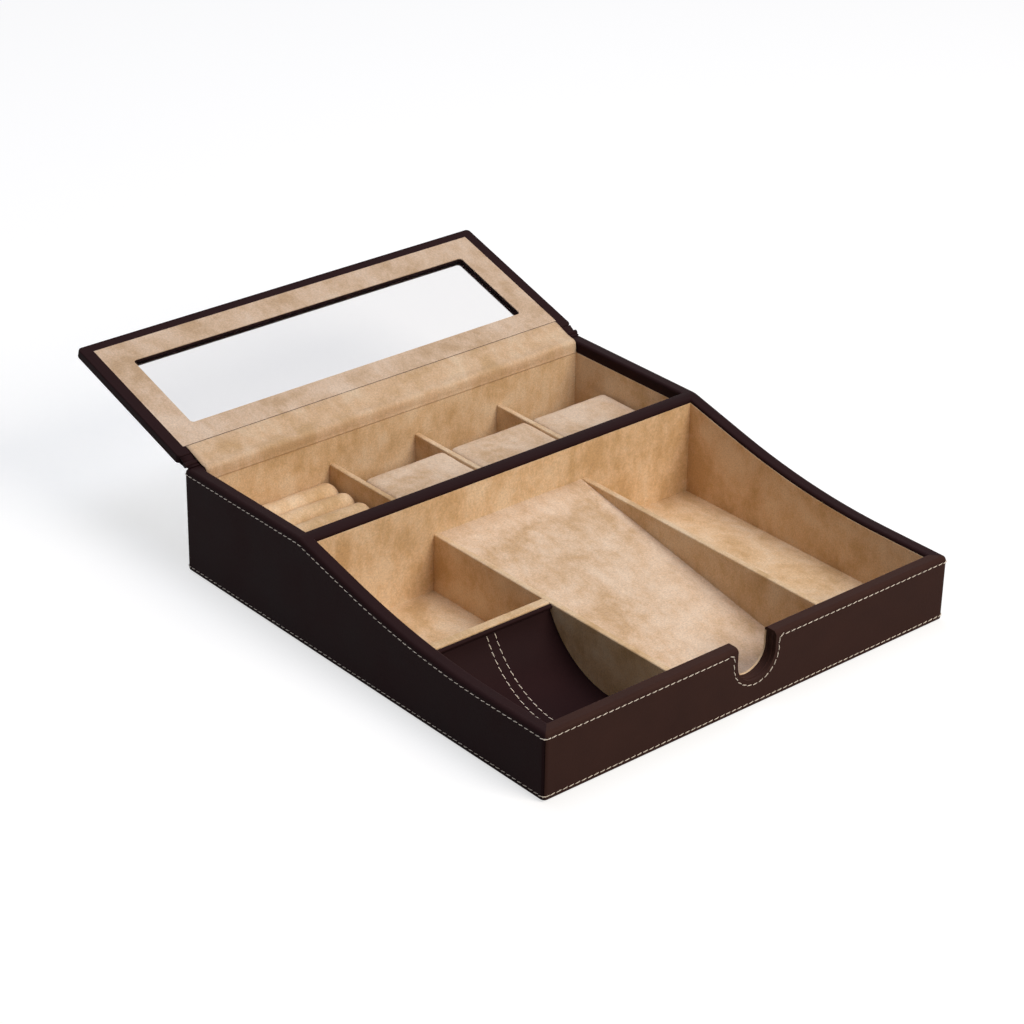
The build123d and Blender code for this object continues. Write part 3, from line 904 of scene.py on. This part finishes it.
def pillowForm(look):
    halfX, halfY = look["width"] / 2, look["depth"] / 2
    low, high = look["floor"] + look["footLift"], look["top"] - look["crown"]
    edge, corner, steps = look["edgeRadius"], look["cornerRadius"], look["cornerSteps"]
    rings = [[(x, y, low) for x, y in roundOutline(halfX, halfY, corner, steps)]]
    for i in range(look["edgeSteps"] + 1):
        turn = pi / 2 * i / look["edgeSteps"]
        shrink = edge * (1 - cos(turn))
        radius = corner - shrink * look["cornerTaper"]
        outline = roundOutline(halfX - shrink, halfY - shrink, radius, steps)
        rings.append([(x, y, high - edge + edge * sin(turn)) for x, y in outline])
    for i in range(1, look["crownRings"]):
        part = 1 - i / look["crownRings"]
        lift = look["crown"] * (1 - part**2)
        rings.append([(x * part, y * part, high + lift) for x, y in outline])
    return meshPiece("pillowForm", *loftRings(rings), paleSuede)


form = inflate(pillowForm(pillow), pillow)
for number, x in enumerate(pillow["columns"], 1):
    seed = pillow["firstSeed"] + number
    piece = placeSoft(form, f"watchPillow{number}", (x, pillow["y"], 0), seed, pillow, paleSuede)
    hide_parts(f"watch_pillow_{number}")
    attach(piece, f"watch_pillow_{number}")
bpy.data.objects.remove(form)
print("pillows done")

roll = {
    "count": 6,
    "length": 95.4,
    "pitch": 17.283,
    "radius": 8.2,
    "topSteps": 14,
    "floor": 4.2,
    "footLift": 0.4,  # room under the form, which swells
    "top": 37.8,
    "endRound": 8.0,
    "endSteps": 7,
    "middleSteps": 20,
    "tipShare": 0.24,  # what is left of the roll's radius at its very end
    "tipDrop": 0.55,
    "x": -106.65,
    "backY": 163.0,
    "voxel": 1.8,
    "pressure": 2.0,
    "cap": 0.6,
    "lastFrame": 14,
    "ripple": 0.4,
    "rippleSize": 14,
    "firstSeed": 10,
}


def rollForm(look):
    # stations along the roll, each a strip with a half-round top, drawn in to a fingertip at both ends
    half, end = look["length"] / 2, look["endRound"]
    endSteps, middleSteps, topSteps = look["endSteps"], look["middleSteps"], look["topSteps"]
    low = look["floor"] + look["footLift"]
    tip = [-half + end * (1 - cos(pi / 2 * i / endSteps)) for i in range(endSteps + 1)]
    straight = [-half + end + (2 * half - 2 * end) * i / middleSteps for i in range(1, middleSteps)]
    rings = []
    for x in tip + straight + [-x for x in reversed(tip)]:
        inward = max(0.0, (abs(x) - half + end) / end)
        share = max(look["tipShare"], sqrt(max(0.0, 1 - inward**2)))
        radius = look["radius"] * share
        centre = look["top"] - look["radius"] - look["endRound"] * look["tipDrop"] * (1 - share)
        turns = [pi * i / topSteps for i in range(topSteps + 1)]
        ring = [(x, radius * cos(turn), centre + radius * sin(turn)) for turn in turns]
        rings.append(ring + [(x, -radius, low), (x, radius, low)])
    return meshPiece("rollForm", *loftRings(rings), suede)


form = inflate(rollForm(roll), roll)
for number in range(1, roll["count"] + 1):
    y = roll["backY"] - (number - 0.5) * roll["pitch"]
    seed = roll["firstSeed"] + number
    piece = placeSoft(form, f"ringRoll{number}", (roll["x"], y, 0), seed, roll, suede)
    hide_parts(f"ring_roll_{number}")
    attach(piece, "case")
bpy.data.objects.remove(form)
print("ring rolls done")

# The flexible hinge: three sheets that bend between the case and the lid, and the piping along their fold
hinge = {
    "y": 173.0,
    "z": 74.8,
    "openAngle": 163.0,
    "step": 0.9,  # between two points along a sheet's section
    "waveAlong": 6,
    "fadeLength": 4,  # the waves die out over this length at both ends
    "hemEdge": 0.5,
}
piping = {"left": -163.8, "right": 164.2, "y": 173.9, "z": 74.0, "radius": 1.8}
openTurn = radians(hinge["openAngle"])
lidAlong = (-cos(openTurn), sin(openTurn))
lidInward = (-sin(openTurn), -cos(openTurn))


def lidPoint(along, rise):
    # a place in the hinge's section, from its axis: along the open lid, and out of its inner face
    return (
        hinge["y"] + lidAlong[0] * along + lidInward[0] * rise,
        hinge["z"] + lidAlong[1] * along + lidInward[1] * rise,
    )


def softenRoute(route, rounds=3):
    # corners cut again and again, at a quarter and three quarters of each leg, into a smooth line
    for _ in range(rounds):
        cut = [route[0]]
        for (ay, az), (by, bz) in zip(route, route[1:]):
            for share in (0.25, 0.75):
                cut.append(((1 - share) * ay + share * by, (1 - share) * az + share * bz))
        route = cut + [route[-1]]
    return route


def evenRoute(route, step):
    # the same line in even steps
    line = np.array(route)
    lengths = np.concatenate([[0], np.cumsum(np.linalg.norm(np.diff(line, axis=0), axis=1))])
    count = max(2, round(lengths[-1] / step))
    marks = np.linspace(0, lengths[-1], count + 1)
    return np.stack([np.interp(marks, lengths, line[:, i]) for i in range(2)], axis=1), marks


def sheetPoints(look, line, marks):
    # the sheet's two faces: waves move both, and its thickness and hems raise the second
    forward = np.gradient(line, axis=0)
    forward /= np.linalg.norm(forward, axis=1, keepdims=True)
    normal = np.stack([-forward[:, 1], forward[:, 0]], axis=1) * look["side"]
    columns = np.linspace(-look["halfWidth"], look["halfWidth"], look["columns"] + 1)
    fadeLength = hinge["fadeLength"]
    points = []
    for layer in (0, 1):
        for x in columns:
            for (y, z), (ny, nz), mark in zip(line, normal, marks):
                spot = Vector((x / look["waveSize"], mark / hinge["waveAlong"], look["seed"]))
                fade = min(1.0, mark / fadeLength, (marks[-1] - mark) / fadeLength)
                hem = 0.0
                for start, stop, extra in look["hems"]:
                    inside = min(mark - start, stop - mark) / hinge["hemEdge"]
                    hem = max(hem, extra * min(1.0, max(0.0, inside)))
                lift = noise.noise(spot) * look["wave"] * fade + (look["thick"] + hem) * layer
                points.append((x, y + ny * lift, z + nz * lift))
    return points


def sheetFaces(across, along):
    # both faces of a sheet of that many points, and the edge all round
    faces = []
    for layer in (0, 1):
        base = layer * across * along
        for i in range(across - 1):
            for j in range(along - 1):
                a = base + i * along + j
                quad = (a, a + 1, a + along + 1, a + along)
                faces.append(quad if layer == 0 else tuple(reversed(quad)))
    ring = [i * along for i in range(across)]
    ring += [(across - 1) * along + j for j in range(1, along)]
    ring += [i * along + along - 1 for i in reversed(range(across - 1))]
    ring += list(reversed(range(1, along - 1)))
    top = across * along
    for a, b in zip(ring, ring[1:] + ring[:1]):
        faces.append((a, b, b + top, a + top))
    return faces


def turnOutwards(piece):
    # a closed piece whose faces all point inwards has a volume below zero
    mesh = piece.data
    mesh.update()
    if sum(face.center.dot(face.normal) * face.area for face in mesh.polygons) < 0:
        mesh.flip_normals()


def hingeSheet(name, look, material):
    line, marks = evenRoute(softenRoute(look["route"]), hinge["step"])
    points = sheetPoints(look, line, marks)
    piece = meshPiece(name, points, sheetFaces(look["columns"] + 1, len(line)), material)
    turnOutwards(piece)
    return piece, float(marks[-1])


# A route is the sheet's section, as (y, z), and a hem is its start and stop along that and its height
hingeSheets = {
    "hingeSuedeStrip": {
        "node": "hinge_suede_strip",
        "route": [
            lidPoint(13.2, 1.45),
            lidPoint(7.0, 1.45),
            (169.6, 74.2),
            (164.9, 73.6),
            (163.15, 71.6),
            (163.15, 65.0),
        ],
        "halfWidth": 154.6,
        "thick": 0.55,
        "side": -1,
        "columns": 90,
        "wave": 0.35,
        "waveSize": 26.0,
        "seed": 1.5,
        "hems": ((26.6, 27.4, 0.3), (28.9, 31.0, 0.25)),
        "slot": "suede",
        "start": (0, 169.5, 74.5),
        "end": (0, 178.6, 77.6),
    },
    "hingeInnerLeather": {
        "node": "hinge_inner_leather",
        "route": [(170.0, 73.05), (174.3, 73.1), lidPoint(6.8, 0.35)],
        "halfWidth": 163.2,
        "thick": 0.9,
        "side": 1,
        "columns": 60,
        "wave": 0.12,
        "waveSize": 16.0,
        "seed": 4.5,
        "hems": ((2.4, 4.2, 0.1), (6.4, 8.2, 0.1)),
        "slot": "leather",
        "start": (0, 172.0, 73.4),
        "end": (0, 179.0, 77.0),
    },
    "hingeOuterLeather": {
        "node": "hinge_outer_leather",
        "route": [
            (173.05, 58.0),
            (173.05, 71.5),
            (173.4, 73.0),
            lidPoint(5.5, -5.55),
            lidPoint(18.0, -5.55),
        ],
        "halfWidth": 161.0,
        "thick": 1.1,
        "side": -1,
        "columns": 60,
        "wave": 0.15,
        "waveSize": 18.0,
        "seed": 8.5,
        "hems": (),
        "slot": "leather",
        "start": (0, 173.1, 68.0),
        "end": (0, 180.5, 71.2),
    },
}
pipingPath = [(piping[end], piping["y"], piping["z"]) for end in ("left", "right")]
# the piping takes the darker copy of the leather, with painted shade
beadPiece("hingePiping", pipingPath, piping["radius"], leatherPaintedShade)
for name, look in hingeSheets.items():
    # the leather sheets take the darker copy, with painted shade
    material = stripSuede if look["slot"] == "suede" else leatherPaintedShade
    piece, length = hingeSheet(name, look, material)
    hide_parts(look["node"])
    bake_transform(piece)
print("hinge done")
